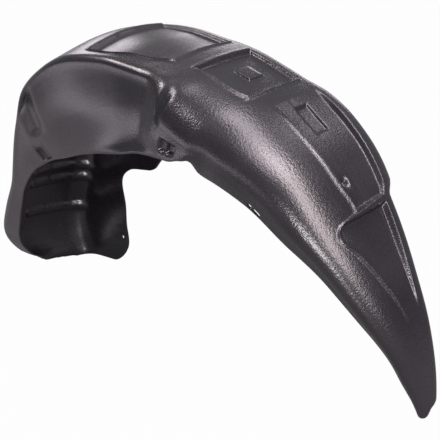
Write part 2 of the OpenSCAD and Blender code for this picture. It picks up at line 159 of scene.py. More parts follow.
# Lip: share of the arch's depth, and share of the flank's height below the crown
LIP_RUN = Run(
    (-8, 0.085, 0.05), (-2, 0.16, 0.09), (3, 0.23, 0.14), (8, 0.29, 0.17), (18, 0.45, 0.2),
    (30, 0.61, 0.245), (40, 0.745, 0.31), (51, 0.845, 0.385), (60, 0.925, 0.43),
    (64.5, 0.95, 0.465), (67, 0.98, 0.43), (69, 1, 0.49), (72, 1, 0.57), (77, 0.99, 0.635),
    (90, 0.98, 0.76), (104, 0.97, 0.915), (118, 0.95, 1), (132, 0.925, 0.945),
    (146, 0.895, 0.725), (156, 0.885, 0.52), (166, 0.87, 0.375), (176, 0.86, 0.365),
    (184, 0.79, 0.33), (188, 0.67, 0.21), (192, 0.49, 0.035), (198, 0.49, 0.035),
)
# Shoulder: share of the depth, fall in mm, share of its reach, and reach down the flank in mm
SHOULDER_RUN = Run(
    (-8, 0.075, 2, 0.07, 3), (0, 0.21, 6, 0.18, 8), (10, 0.38, 6, 0.4, 16),
    (24, 0.605, 6, 0.66, 24), (40, 0.805, 6, 0.92, 34), (60, 0.945, 6, 1, 44),
    (78, 0.97, 8, 0.7, 44), (81.5, 0.94, 8, 0.5, 36), (84.5, 0.885, 8, 0.2, 20),
    (90, 0.83, 8, 0.12, 9), (100, 0.87, 8, 0.1, 8), (115, 0.925, 12, 0.1, 8),
    (126, 0.935, 12, 0.1, 8), (137, 0.92, 8, 0.1, 10), (150, 0.86, 5, 0.16, 16),
    (165, 0.85, 4, 0.24, 24), (176, 0.86, -4, 0.26, 26), (184, 0.8, -6, 0.2, 18),
    (188, 0.68, -4, 0.1, 8), (192, 0.49, 0, 0.03, 1.5), (198, 0.49, 0, 0.03, 1.5),
)
# Share of its rise that the back rim stands up
RIM_RUN = Run((-8, 0), (40.4, 0), (43.4, 0.9), (50, 1), (57, 1), (63, 0.75), (71, 0), (198, 0))
# Share of the rim's height on each line over a panel, from its front edge to its back one
RIM_RISE = (0, 0, 0.03, 0.13, 0.15, 0.4, 0.43, 0.6, 0.8, 1)
# Share of the rim's height that it loses over each of the back wall's first two lines
RIM_FALL = (0.4, 0.6)
# Share of its greatest width that the back wall is wide
BACK_RUN = Run(
    (-8, 0.04), (0, 0.07), (20, 0.09), (60, 0.09), (90, 0.09), (104, 0.13), (116, 0.445),
    (128, 0.825), (138, 1), (144, 0.975), (150.6, 0.925), (151.6, 0.905), (154.6, 0.81),
    (160, 0.61), (166, 0.505), (174, 0.625), (186, 0.73), (192, 0.64), (198, 0.4),
)
# Share of its greatest width that the flange is wide
FLANGE_RUN = Run(
    (-8, 0.06), (8, 0.18), (20, 0.53), (30, 0.76), (50, 1), (62, 0.94), (64.5, 0.82),
    (67, 0.47), (71, 0.12), (198, 0.12),
)
# Share of the depth at which the panels' front edge runs
PANEL_RUN = Run(
    (-8, 0.09), (10, 0.16), (17.2, 0.218), (26.2, 0.322), (31.5, 0.394), (36.2, 0.473),
    (38.2, 0.44), (39.5, 0.355), (45, 0.394), (56.8, 0.457), (62.8, 0.481), (66, 0.51),
    (69, 0.55), (76, 0.593), (83.8, 0.609), (89.8, 0.63), (93.2, 0.68), (99.5, 0.74),
    (103.5, 0.805), (111.8, 0.824), (135, 0.84), (150, 0.8), (176, 0.8), (184, 0.76),
    (188, 0.64), (192, 0.46), (198, 0.46),
)
# Shares of the panels' width between which pad and pocket lie
PAD_RUN = Run((-8, 0.37, 0.71), (62, 0.37, 0.71), (72, 0.33, 0.64), (198, 0.33, 0.64))
# How many times its least radius the back corner is rounded
CORNER_RUN = Run((-8, 1), (98, 1), (116, 1.5), (140, 2.8), (198, 2.8))
# Share of their lift by which the lip pockets stand above the fold
POCKET_RUN = Run((-8, 1), (90, 1), (125, 0), (198, 0))
# Share of its bulge by which the flank swells outwards
BULGE_RUN = Run((74, 0), (80, 0.4), (87, 1.4), (98, 1.1), (110, 1), (140, 1), (160, 0))
# How hollow the flank is above the lip
HOLLOW_RUN = Run((60, 0), (72, 1), (150, 1), (165, 0))


class Line(Enum):
    """Where the parts of a section begin and end, counted in lines from the flange's edge."""

    FOLD = 1
    FLANK = 3
    SHOULDER = 10
    PANEL = 17
    MARGIN = 26
    CORNER = 27
    BACK = 29
    END = 33


@dataclass(frozen=True)
class ArchSizes:
    """The driving sizes of the arch, in mm and degrees."""

    crown_r: float = 362.0
    swell: float = 26.0
    crown_arch: float = 7.0
    arch_depth: float = 188.0
    flank_h: float = 142.0
    back_wall_w: float = 166.0
    wall: float = 2.4
    tail_angle: float = 5.2
    tail_slant: float = 4.5
    leg_angle: float = 191.1
    leg_slant: float = 3.8
    leg_round: float = 5.5
    tail_power: float = 1.2
    leg_power: float = 1.8
    leg_round_power: float = 2.4
    leg_round_lines: int = 2
    shoulder_reach: float = 92.0
    corner_round: float = 12.0
    rim_rise: float = 8.0
    flange_w: float = 17.0
    fold_round: float = 4.0
    tip_round: float = 0.5
    tip_share: float = 0.3
    tail_turn: float = 13.0
    leg_turn: float = 184.0
    panel_margin: float = 15.0
    least_margin: float = 3.0
    least_panel_w: float = 2.0
    panel_skew: float = 2.2
    wall_run: float = 4.0
    pad_run: float = 2.5
    flank_bulge: float = 6.0
    full_arch_depth: float = 150.0
    pocket_lift: float = 8.0
    flank_lines: tuple[float, ...] = (0, 3, 5.5, 18, 31, 34, 54, 200)


class Section:
    """The bare section of the sheet at one angle, as points of radius and depth.

    Where the sheet narrows towards the tail, each part of a section takes at most a share of what
    carries it, so that no two parts meet.
    """

    FLANGE_FALL = 0.25
    FOLD_OF_FLANGE = 0.6
    BEND_OF_FLANK = 0.8
    REACH_OF_DEPTH = 0.7
    BEND_LENGTH = 1.1
    BEND_PULL = 0.62
    ROUND_OF_WALL = 0.7
    ROUND_OF_DEPTH = 0.3
    MARGIN_OF_DEPTH = 0.4
    PANEL_OF_BEND = 0.9
    WALL_OF_PANEL = 0.2
    WALL_OF_PAD = 0.3
    BACK_SPACING = 1.6
    HOLLOW_POWER = 3
    STEP = 0.05

    def __init__(self, sizes: ArchSizes, angle: float) -> None:
        """Works out the section's corners and the lengths of its parts."""
        self.sizes = sizes
        self.angle = angle
        crown = sizes.crown_r + sizes.swell * CROWN_WAVE.at(angle)
        lip_drop = sizes.flank_h * LIP_RUN.at(angle, 1)
        self.lip = Vector((crown - lip_drop, sizes.arch_depth * LIP_RUN.at(angle)))
        flange = sizes.flange_w * FLANGE_RUN.at(angle)
        self.edge = self.lip + Vector((-flange, -flange * self.FLANGE_FALL))
        self.shoulder = Vector((crown - SHOULDER_RUN.at(angle, 1), sizes.arch_depth * SHOULDER_RUN.at(angle)))
        self.back = Vector((crown, 0.0))
        self.wall_end = Vector((crown - sizes.back_wall_w * BACK_RUN.at(angle), 0.0))
        self.fold = min(sizes.fold_round, (self.edge - self.lip).length * self.FOLD_OF_FLANGE)
        self.from_lip = toward(self.lip, self.shoulder, self.fold)
        flank = (self.shoulder - self.lip).length
        bend = min(SHOULDER_RUN.at(angle, 3), flank * self.BEND_OF_FLANK)
        self.flank_top = toward(self.shoulder, self.lip, bend)
        self.depth = (self.shoulder - self.back).length
        reach = min(sizes.shoulder_reach * SHOULDER_RUN.at(angle, 2), self.depth * self.REACH_OF_DEPTH)
        self.crown_end = toward(self.shoulder, self.back, reach)
        self.crown_len = self.depth - reach
        self.bend_len = (self.flank_top - self.crown_end).length * self.BEND_LENGTH
        back_w = (self.wall_end - self.back).length
        wanted = sizes.corner_round * CORNER_RUN.at(angle)
        self.round = min(wanted, back_w * self.ROUND_OF_WALL, self.depth * self.ROUND_OF_DEPTH)
        margin = min(sizes.panel_margin, self.depth * self.MARGIN_OF_DEPTH)
        self.far = max(margin, self.round + sizes.least_margin)
        limit = self.crown_len + self.bend_len * self.PANEL_OF_BEND
        self.near = clamp(sizes.arch_depth * PANEL_RUN.at(angle), self.far + sizes.least_panel_w, limit)
        self.panel_lines = self._panel_lines()

    def _panel_lines(self) -> list[float]:
        """Returns how far from the back corner each line of the panel lies, from front to back."""
        run = min(self.sizes.wall_run, (self.near - self.far) * self.WALL_OF_PANEL)
        low, high = self.far + run, self.near - run
        pad_low = mix(low, high, PAD_RUN.at(self.angle))
        pad_high = mix(low, high, PAD_RUN.at(self.angle, 1))
        pad = min(self.sizes.pad_run, (pad_high - pad_low) * self.WALL_OF_PAD)
        return [
            self.near, high, (high + pad_high) / 2, pad_high, pad_high - pad,
            pad_low + pad, pad_low, (pad_low + low) / 2, low, self.far,
        ]

    def point(self, line: float) -> Vector:
        """Returns the point of the bare section on a line, which may lie between two whole ones."""
        if line < Line.FOLD.value:
            return mix(self.edge, toward(self.lip, self.edge, self.fold), line)
        if line < Line.FLANK.value:
            start = toward(self.lip, self.edge, self.fold)
            return self._bend(start, self.lip, self.from_lip, (line - Line.FOLD.value) / 2)
        if line < Line.SHOULDER.value:
            return self._flank(line - Line.FLANK.value)
        if line < Line.CORNER.value:
            return self._crown(self._from_back(line))
        end = toward(self.back, self.wall_end, self.round)
        if line < Line.BACK.value:
            start = self._crown(self.round)
            slope = start - self._crown(self.round + 1.0)
            corner = start - slope * (start.y / slope.y)
            return self._bend(start, corner, end, (line - Line.CORNER.value) / 2)
        steps = Line.END.value - Line.BACK.value
        share = clamp((Line.END.value - line) / steps)
        return mix(end, self.wall_end, 1.0 - share**self.BACK_SPACING)

    @staticmethod
    def _bend(p: Vector, corner: Vector, q: Vector, t: float) -> Vector:
        """Returns a point of the bend from p to q round a corner."""
        return mix(mix(p, corner, t), mix(corner, q, t), t)

    def _flank(self, k: float) -> Vector:
        """Returns a point of the flank, k lines above the fold, hollow where the lip flares."""
        lines = self.sizes.flank_lines
        i = min(int(k), len(lines) - 2)
        length = (self.flank_top - self.from_lip).length
        lift = self.sizes.pocket_lift * POCKET_RUN.at(self.angle) * min(k, 1.0)
        rise = min(mix(lines[i], lines[i + 1], k - i) + lift, length * k / (len(lines) - 1))
        t = rise / max(length, TINY)
        keep = mix(1 - t, (1 - t) ** self.HOLLOW_POWER, HOLLOW_RUN.at(self.angle))
        depth = mix(self.flank_top.y, self.from_lip.y, keep)
        # The bulge is 1 half-way up and 0 at both ends
        depth += self.sizes.flank_bulge * BULGE_RUN.at(self.angle) * 16 * t**2 * (1 - t) ** 2
        return Vector((mix(self.from_lip.x, self.flank_top.x, t), depth))

    def _from_back(self, line: float) -> float:
        """Returns how far from the back corner a line of shoulder, panel or margin lies."""
        outer = self.crown_len + self.bend_len
        if line <= Line.PANEL.value:
            steps = Line.PANEL.value - Line.SHOULDER.value
            return mix(outer, self.near, (line - Line.SHOULDER.value) / steps)
        if line >= Line.MARGIN.value:
            return mix(self.far, self.round, line - Line.MARGIN.value)
        i = int(line) - Line.PANEL.value
        return mix(self.panel_lines[i], self.panel_lines[i + 1], line - int(line))

    def _crown(self, s: float) -> Vector:
        """Returns the point of crown or shoulder at the distance s from the back corner."""
        share = clamp(s / self.depth)
        arch = self.sizes.crown_arch * ARCH_RUN.at(self.angle) * math.sin(math.pi * share)
        lifted = Vector((arch * min(1.0, self.depth / self.sizes.full_arch_depth), 0.0))
        if s <= self.crown_len:
            return toward(self.back, self.shoulder, s) + lifted
        t = (s - self.crown_len) / self.bend_len
        m = mix(self.crown_end, self.shoulder, self.BEND_PULL)
        n = mix(self.flank_top, self.shoulder, self.BEND_PULL)
        arc = (1 - t) ** 3 * self.crown_end + 3 * t * (1 - t) ** 2 * m
        return arc + 3 * t**2 * (1 - t) * n + t**3 * self.flank_top + lifted

    def outward(self, line: float) -> Vector:
        """Returns the direction out of the sheet on a line, as radius and depth."""
        run = self.point(min(line + self.STEP, Line.END.value)) - self.point(max(line - self.STEP, 0.0))
        return Vector((-run.y, run.x)) / max(run.length, TINY / 10)


@dataclass(frozen=True)
class PressedDetails:
    """What is pressed into or out of the sheet: panels, pad, pockets, ribs and rim."""

    panel_sink: float = 5.0
    tail_sink: float = 7.5
    bead_h: float = 2.0
    bead_w: float = 1.4
    lip_w: float = 0.56
    panel_wall: float = 1.1
    tail_panel: Span = (18.0, 40.6)
    side_panel: Span = (41.2, 66.6)
    upper_panel: Span = (70.4, 85.6)
    top_panel: Span = (91.4, 113.0)
    tail_fade: float = 14.0
    bead_fade: float = 6.0
    side_fade: float = 6.0
    pad_lines: Span = (3, 6)
    pad_rise: float = 3.0
    pad_span: Span = span_at(77.9, 5.2)
    pocket_sink: float = 3.0
    pocket_span: Span = span_at(60.6, 7.2)
    dimple_angle: float = 47.2
    dimple_w: float = 2.6
    dimple_line: float = 2.0
    dimple_lines: float = 1.5
    dimple_sink: float = 6.0
    rib_h: float = 4.5
    rib_w: float = 3.4
    ribs: tuple[float, ...] = (168.8, 172.4, 181.0)
    rib_from: float = 2.0
    rib_fade: float = 1.6
    rib_back_fade: float = 1.5
    lip_pocket_sink: float = 5.0
    near_pocket: Span = span_at(77.2, 6.4)
    fin_angle: float = 77.2
    fin_w: float = 0.5
    leg_pocket: Span = span_at(145.4, 6.2)
    groove_sink: float = 4.0
    groove_angle: float = 83.0
    groove_w: float = 4.0
    crescent_sink: float = 8.0
    crescent_angle: float = 141.5
    crescent_w: float = 14.0

    @property
    def pad_wall(self) -> float:
        """Width of the walls round pad and pockets, in degrees: they are steeper than the panels'."""
        return self.panel_wall * 0.7

    @property
    def panels(self) -> tuple[Span, ...]:
        """The four sunk panels, from the tail up."""
        return (self.tail_panel, self.side_panel, self.upper_panel, self.top_panel)

    def lift(self, angle: float, line: float, rim: float) -> float:
        """Returns how far the sheet stands out of its bare section.

        Args:
            angle: the ring's angle.
            line: the line of the section.
            rim: the height of the raised back rim at this angle.

        Returns:
            The height in mm, negative where the sheet is pressed in.
        """
        over = line - Line.PANEL.value
        on_pad = between(over, self.pad_lines, 1.0)
        height = rim * self._rim_share(line) + self._panels_lift(angle, line)
        if on_pad > 0:
            height += self.pad_rise * on_pad * between(angle, self.pad_span, self.pad_wall)
            height -= self.pocket_sink * on_pad * between(angle, self.pocket_span, self.pad_wall)
        dimple = hump(over, self.dimple_line, self.dimple_lines)
        dimple *= hump(angle, self.dimple_angle, self.dimple_w)
        height -= self.dimple_sink * dimple
        height -= self.rib_h * self._leg_share(line) * max(hump(angle, m, self.rib_w) for m in self.ribs)
        return height - self._flank_press(angle, line)

    def _panels_lift(self, angle: float, line: float) -> float:
        """Returns the height of the sunk panels, each with a bead round its front and cross edges."""
        front, back = Line.PANEL.value, Line.MARGIN.value
        on_panel = between(line, (front, back), 1.0)
        beside = between(line, (front - 0.5, back), 0.5)
        if beside == 0:
            return 0.0
        height = 0.0
        for span in self.panels:
            on_tail = span is self.tail_panel
            share = clamp((angle - span[0]) / self.tail_fade) if on_tail else 1.0
            if span is self.side_panel:
                share = clamp((span[1] - angle) / self.side_fade)
            edge = clamp((angle - span[0]) / self.bead_fade) if on_tail else share
            widened = (span[0] - self.bead_w / 4, span[1] + self.bead_w / 4)
            inside = between(angle, widened, self.bead_w / 2)
            across = max(hump(angle, span[0], self.bead_w), hump(angle, span[1], self.bead_w))
            bead = max(across * beside, hump(line, front, self.lip_w) * inside)
            sunk = on_panel * between(angle, span, self.panel_wall)
            height += edge * self.bead_h * bead
            height -= share * (self.tail_sink if on_tail else self.panel_sink) * sunk
        return height

    def _flank_press(self, angle: float, line: float) -> float:
        """Returns how deep the flank is pressed in: two lip pockets, the crescent and the groove."""
        flank, shoulder = Line.FLANK.value, Line.SHOULDER.value
        fin = eased(abs(angle - self.fin_angle) / self.fin_w)
        near = between(line, (flank + 1, flank + 5), 1.0) * fin
        near *= between(angle, self.near_pocket, self.pad_wall)
        leg = between(line, (flank, flank + 4), 1.0) * between(angle, self.leg_pocket, self.pad_wall)
        crescent = between(line, (shoulder - 2, shoulder + 1), 1.0)
        groove = between(line, (shoulder - 1, shoulder + 4), 2.0)
        return (
            self.lip_pocket_sink * (near + leg)
            + self.crescent_sink * crescent * hump(angle, self.crescent_angle, self.crescent_w)
            + self.groove_sink * groove * hump(angle, self.groove_angle, self.groove_w)
        )

    @staticmethod
    def _rim_share(line: float) -> float:
        """Returns how much of the rim's height a line has: it rises over the panels."""
        over = clamp(line - Line.PANEL.value, 0.0, len(RIM_RISE) - 1 - TINY)
        up = mix(RIM_RISE[int(over)], RIM_RISE[int(over) + 1], over - int(over))
        past = line - Line.BACK.value
        first, second = RIM_FALL
        return up * (1.0 - first * clamp(past) - second * clamp(past - 1))

    def _leg_share(self, line: float) -> float:
        """Returns how much of a rib's height a line has: ribs fade before shoulder and back corner."""
        up = eased((line - Line.PANEL.value - self.rib_from) / self.rib_fade)
        down = eased((Line.BACK.value - line) / self.rib_back_fade)
        return up * down


@dataclass
class Fastenings:
    """The clip hole in the back wall and the pair of slots in the flange."""

    clip_bore: float = 6.5
    clip_angle: float = 186.0
    clip_radius: float = 284.6
    slot_w: float = 6.0
    short_slot: float = 6.4
    long_slot: float = 12.0
    slot_web: float = 1.6
    slot_angle: float = 49.2
    slot_share: float = 0.66
    reach: float = 24.0
    sides: int = 40

    def cutters(self, arch: ArchSizes) -> bpy.types.Object:
        """Returns one object with the three cutters, each running along Y through the sheet."""
        shape = bmesh.new()
        turn = math.radians(self.clip_angle)
        place = (self.clip_radius * math.cos(turn), 0.0, self.clip_radius * math.sin(turn))
        self._round_bar(shape, self.clip_bore, 0.0, 0.0, Matrix.Translation(place))
        section = Section(arch, self.slot_angle)
        turn = math.radians(self.slot_angle)
        r = section.lip.x - arch.flange_w * self.slot_share
        place = (r * math.cos(turn), -section.lip.y, r * math.sin(turn))
        at = Matrix.Translation(place) @ Matrix.Rotation(math.radians(90.0 - self.slot_angle), 4, "Y")
        whole = self.short_slot + self.slot_web + self.long_slot
        self._round_bar(shape, self.slot_w, self.short_slot, (self.short_slot - whole) / 2, at)
        self._round_bar(shape, self.slot_w, self.long_slot, (whole - self.long_slot) / 2, at)
        bmesh.ops.scale(shape, vec=(MM, MM, MM), verts=shape.verts)
        mesh = bpy.data.meshes.new("cutters")
        shape.to_mesh(mesh)
        shape.free()
        cutters = bpy.data.objects.new("cutters", mesh)
        bpy.context.scene.collection.objects.link(cutters)
        return cutters

    def _round_bar(
        self, shape: bmesh.types.BMesh, width: float, length: float, shift: float, at: Matrix,
    ) -> None:
        """Adds a bar along Y with a round-ended section.

        Args:
            shape: the mesh that takes the bar.
            width: the section's width.
            length: the section's whole length along X, or less than the width for a round bar.
            shift: how far the bar lies along X.
            at: where the bar is put.
        """
        upright = Matrix.Rotation(math.radians(90.0), 4, "X")
        made = bmesh.ops.create_cone(
            shape, cap_ends=True, segments=self.sides, radius1=width / 2, radius2=width / 2,
            depth=self.reach, matrix=upright,
        )
        straight = max(length - width, 0.0) / 2
        for vert in made["verts"]:
            vert.co.x += shift + math.copysign(straight, vert.co.x) if straight else shift
        bmesh.ops.transform(shape, matrix=at, verts=made["verts"])


@dataclass
class MouldedSheet:
    """The liner itself: one thin moulded sheet that wraps round the wheel's front and top."""

    sizes: ArchSizes = field(default_factory=ArchSizes)
    pressed: PressedDetails = field(default_factory=PressedDetails)
    fastenings: Fastenings = field(default_factory=Fastenings)
    ring_step: float = 1.0
    least_step: float = 0.11
    wall_steps: int = 5
    line_steps: tuple[int, ...] = (
        2, 3, 3, 2, 3, 3, 3, 3, 5, 8, 3, 3, 3, 3, 3, 3, 8,
        6, 5, 5, 4, 5, 4, 4, 4, 6, 2, 3, 3, 3, 3, 3, 3,
    )
    trim_round: float = 0.5
    trim_segments: int = 2
    trim_angle: float = 62.0

    def build(self) -> bpy.types.Object:
        """Returns the finished sheet as one object at the origin."""
        shape = self._face()
        mesh = bpy.data.meshes.new(f"{NODE}_sheet")
        shape.to_mesh(mesh)
        shape.free()
        sheet = bpy.data.objects.new(f"{NODE}_sheet", mesh)
        bpy.context.scene.collection.objects.link(sheet)
        self._thicken(sheet)
        return sheet

    def _face(self) -> bmesh.types.BMesh:
        """Returns the sheet's outer face: a grid whose columns are lines and whose rows are rings."""
        lines, rings = self.lines(), self.rings()
        shape = bmesh.new()
        bmesh.ops.create_grid(shape, x_segments=len(lines) - 1, y_segments=len(rings) - 1, size=0.5)
        for vert in shape.verts:
            column = round((vert.co.x + 0.5) * (len(lines) - 1))
            row = round((vert.co.y + 0.5) * (len(rings) - 1))
            vert.co = self.place(rings[row], lines[column])
        for face in shape.faces:
            face.smooth = True
        return shape

    def _thicken(self, sheet: bpy.types.Object) -> None:
        """Gives the face its thickness, cuts the holes and rounds the trimmed edges."""
        solidify = sheet.modifiers.new("thickness", "SOLIDIFY")
        solidify.thickness = self.sizes.wall * MM
        solidify.offset = -1.0
        solidify.use_even_offset = False
        cutters = self.fastenings.cutters(self.sizes)
        cut = sheet.modifiers.new("holes", "BOOLEAN")
        cut.operation = "DIFFERENCE"
        cut.solver = "EXACT"
        cut.object = cutters
        edges = sheet.modifiers.new("trim", "BEVEL")
        edges.width = self.trim_round * MM
        edges.segments = self.trim_segments
        edges.limit_method = "ANGLE"
        edges.angle_limit = math.radians(self.trim_angle)
        edges.harden_normals = False
        graph = bpy.context.evaluated_depsgraph_get()
        finished = bpy.data.meshes.new_from_object(sheet.evaluated_get(graph))
        sheet.modifiers.clear()
        sheet.data = finished
        bpy.data.objects.remove(cutters)

    def lines(self) -> list[float]:
        """Returns the lines of the section, closest where the walls of the panels stand."""
        made = [i + k / n for i, n in enumerate(self.line_steps) for k in range(n)]
        return [*made, float(Line.END.value)]

    def rings(self) -> list[float]:
        """Returns the angles of the rings, with close ones through every pressed wall."""
        details = self.pressed
        n = self.wall_steps
        marks = [-self.sizes.tail_angle, self.sizes.tail_turn, self.sizes.leg_turn, self.sizes.leg_angle]
        for span in details.panels:
            marks += self._walls(span, details.panel_wall, n)
            marks += [span[0] - details.bead_w / 2 * k / 3 for k in range(1, 4)]
            marks += [span[1] + details.bead_w / 2 * k / 3 for k in range(1, 4)]
        for span in (details.pad_span, details.pocket_span, details.near_pocket, details.leg_pocket):
            marks += self._walls(span, details.pad_wall, n)
        marks += self._through(details.fin_angle, details.fin_w, 3)
        marks += self._through(details.groove_angle, details.groove_w / 2, 6)
        marks += self._through(details.dimple_angle, details.dimple_w / 2, 4)
        for middle in details.ribs:
            marks += self._through(middle, details.rib_w / 2, 6)
        marks += [RIM_RUN.angles[1] + k / 4 for k in range(5)]
        ordered = []
        for mark in sorted(marks):
            if not ordered or mark - ordered[-1] > self.least_step:
                ordered.append(mark)
        rings = []
        for low, high in zip(ordered, ordered[1:]):
            steps = math.ceil((high - low) / self.ring_step)
            rings += [mix(low, high, k / steps) for k in range(steps)]
        return [*rings, ordered[-1]]

    @staticmethod
    def _walls(span: Span, run: float, steps: int) -> list[float]:
        """Returns the angles through both cross walls of a pressed span."""
        shares = [k / steps for k in range(steps + 1)]
        return [span[0] + run * t for t in shares] + [span[1] - run * t for t in shares]

    @staticmethod
    def _through(middle: float, reach: float, steps: int) -> list[float]:
        """Returns the angles through a pressed feature, in steps to a reach on both sides."""
        return [middle + reach * k / steps for k in range(-steps, steps + 1)]

    def turned(self, ring: float, line: float) -> float:
        """Returns the angle of a ring on a line: cross edges slant, and so do both ends."""
        s = self.sizes
        share = clamp((Line.BACK.value - line) / (Line.BACK.value - Line.PANEL.value))
        skew = s.panel_skew * share
        back = clamp((line - Line.FLANK.value) / (Line.END.value - Line.FLANK.value))
        if ring < s.tail_turn:
            low = s.tail_turn - skew
            tail = section_at(s, -s.tail_angle)
            inward = 1.0 - clamp(tail.point(line).y / tail.lip.y)
            tip = (1.0 - clamp(inward / s.tip_share)) ** 2 + (1.0 - clamp(line / Line.FLANK.value)) ** 2
            end = -s.tail_angle + s.tail_slant * inward**s.tail_power + s.tip_round * tip
            return low - (s.tail_turn - ring) * (low - end) / (s.tail_turn + s.tail_angle)
        if ring > s.leg_turn:
            high = s.leg_turn - skew
            from_end = line - Line.END.value + s.leg_round_lines
            corner = clamp(from_end / s.leg_round_lines) ** s.leg_round_power
            end = s.leg_angle + s.leg_slant * back**s.leg_power - s.leg_round * corner
            return high + (ring - s.leg_turn) * (end - high) / (s.leg_angle - s.leg_turn)
        return ring - skew

    def place(self, ring: float, line: float) -> Vector:
        """Returns the place of a point of the outer face, in metres."""
        angle = self.turned(ring, line)
        section = section_at(self.sizes, round(angle, 5))
        rim = self.sizes.rim_rise * RIM_RUN.at(ring)
        height = self.pressed.lift(ring, line, rim)
        point = section.point(line) + section.outward(line) * height
        turn = math.radians(angle)
        return Vector((point.x * math.cos(turn), -point.y, point.x * math.sin(turn))) * MM


@lru_cache(maxsize=4096)
def section_at(sizes: ArchSizes, angle: float) -> Section:
    """Returns the bare section at an angle, worked out once for each angle."""
    return Section(sizes, angle)


class Value:
    """Wraps a shader socket, so that maths on it reads as an expression."""

    def __init__(self, shader: "Shader", socket: bpy.types.NodeSocket) -> None:
        """Keeps the socket and the shader that its maths nodes go into."""
        self.shader = shader
        self.socket = socket

    def _maths(self, operation: str, *terms: "Value | float") -> "Value":
        """Returns the result of a Math node on the terms."""
        return self.shader.node("ShaderNodeMath", {"operation": operation}, dict(enumerate(terms)))

    def __add__(self, other: "Value | float") -> "Value":
        """Returns the sum."""
        return self._maths("ADD", self, other)

    __radd__ = __add__

    def __mul__(self, other: "Value | float") -> "Value":
        """Returns the product."""
        return self._maths("MULTIPLY", self, other)

    __rmul__ = __mul__

    def __sub__(self, other: "Value | float") -> "Value":
        """Returns the difference."""
        return self._maths("SUBTRACT", self, other)

    def __rsub__(self, other: "Value | float") -> "Value":
        """Returns the difference from a number."""
        return self._maths("SUBTRACT", other, self)

    def __pow__(self, other: float) -> "Value":
        """Returns the power."""
        return self._maths("POWER", self, other)


class Shader:
    """Builds the nodes of one material or of the surroundings."""

    def __init__(self, holder: bpy.types.Material | bpy.types.World) -> None:
        """Empties the holder's nodes but for its output."""
        holder.use_nodes = True
        self.tree = holder.node_tree
        self.tree.nodes.clear()
        kind = "World" if isinstance(holder, bpy.types.World) else "Material"
        self.output = self.tree.nodes.new(f"ShaderNodeOutput{kind}")

    def node(
        self, kind: str, settings: dict | None = None, inputs: dict | None = None, out: int | str = 0,
    ) -> Value:
        """Makes one node.

        Args:
            kind: the node's type.
            settings: its properties, which are set first.
            inputs: values or links of its sockets, by name or number.
            out: the output that is returned.

        Returns:
            The chosen output, wrapped.
        """
        made = self.tree.nodes.new(kind)
        for key, value in (settings or {}).items():
            setattr(made, key, value)
        for key, value in (inputs or {}).items():
            socket = made.inputs[key]
            if isinstance(value, Value):
                self.tree.links.new(value.socket, socket)
            else:
                socket.default_value = value
        return Value(self, made.outputs[out])

    def ramp(self, value: Value, low: float, high: float) -> Value:
        """Returns 0 to 1 with rounded ends as a value goes from low to high."""
        return self.node(
            "ShaderNodeMapRange", {"interpolation_type": "SMOOTHSTEP"}, {"Value": value, 1: low, 2: high},
        )

    def close(self, surface: Value) -> None:
        """Links the surface to the output."""
        self.tree.links.new(surface.socket, self.output.inputs["Surface"])


@dataclass(frozen=True)
class MouldedPlastic:
    """Black moulded plastic: a fine leather grain, a satin sheen and faint colour changes.

    Sizes are in mm. The grain is fainter at the leg, and grows along X between grain_from and grain_to.
    """

    dark: tuple[float, float, float, float] = (0.0080, 0.0072, 0.0098, 1.0)
    light: tuple[float, float, float, float] = (0.0140, 0.0124, 0.0165, 1.0)
    pebble_size: float = 2.4
    lump_size: float = 3.84
    pore_size: float = 1.2
    lump_share: float = 0.8
    pore_share: float = 0.35
    pebble_share: float = 0.45
    grain_from: float = -40.0
    grain_to: float = 60.0
    least_grain: float = 0.3
    cloud_size: float = 90.0
    tone_span: Span = (0.3, 0.7)
    cloud_share: float = 0.7
    roughness: float = 0.27
    roughness_spread: float = 0.1
    ior: float = 1.6
    grain_depth: float = 0.4
    grain_strength: float = 0.8

    def material(self) -> bpy.types.Material:
        """Returns the material."""
        finish = bpy.data.materials.new("moulded_plastic")
        shader = Shader(finish)
        place = shader.node("ShaderNodeTexCoord", out="Object")
        cloud = self._noise(shader, place, self.cloud_size, 3.0)
        pores = self._noise(shader, place, self.pore_size, 2.0)
        pebbles = shader.node(
            "ShaderNodeTexVoronoi", {"feature": "F1", "distance": "EUCLIDEAN"},
            {"Vector": place, "Scale": 1.0 / (self.pebble_size * MM), "Randomness": 1.0}, "Distance",
        )
        lumps = self._noise(shader, place, self.lump_size, 2.0)
        along = shader.node("ShaderNodeSeparateXYZ", {}, {0: place}, 0)
        coarse = shader.ramp(along, self.grain_from * MM, self.grain_to * MM)
        share = self.least_grain + coarse * (1.0 - self.least_grain)
        height = lumps * self.lump_share + pores * self.pore_share - pebbles * self.pebble_share
        bump = shader.node(
            "ShaderNodeBump", {},
            {"Strength": self.grain_strength, "Distance": self.grain_depth * MM, "Height": height * share},
            "Normal",
        )
        mottle = cloud * self.cloud_share + lumps * (1.0 - self.cloud_share)
        tone = shader.ramp(mottle, *self.tone_span)
        colour = shader.node(
            "ShaderNodeMix", {"data_type": "RGBA"}, {0: tone, 6: self.dark, 7: self.light}, 2,
        )
        spread = self.roughness_spread
        rough = self.roughness + (cloud - 0.5) * spread + (pores - 0.5) * spread
        surface = shader.node(
            "ShaderNodeBsdfPrincipled", {},
            {"Base Color": colour, "Roughness": rough, "Normal": bump, "IOR": self.ior},
        )
        shader.close(surface)
        return finish

    @staticmethod
    def _noise(shader: Shader, place: Value, size: float, detail: float) -> Value:
        """Returns smooth noise whose lumps are about a size in mm across."""
        return shader.node(
            "ShaderNodeTexNoise", {},
            {"Vector": place, "Scale": 1.0 / (size * MM), "Detail": detail, "Roughness": 0.5}, 0,
        )


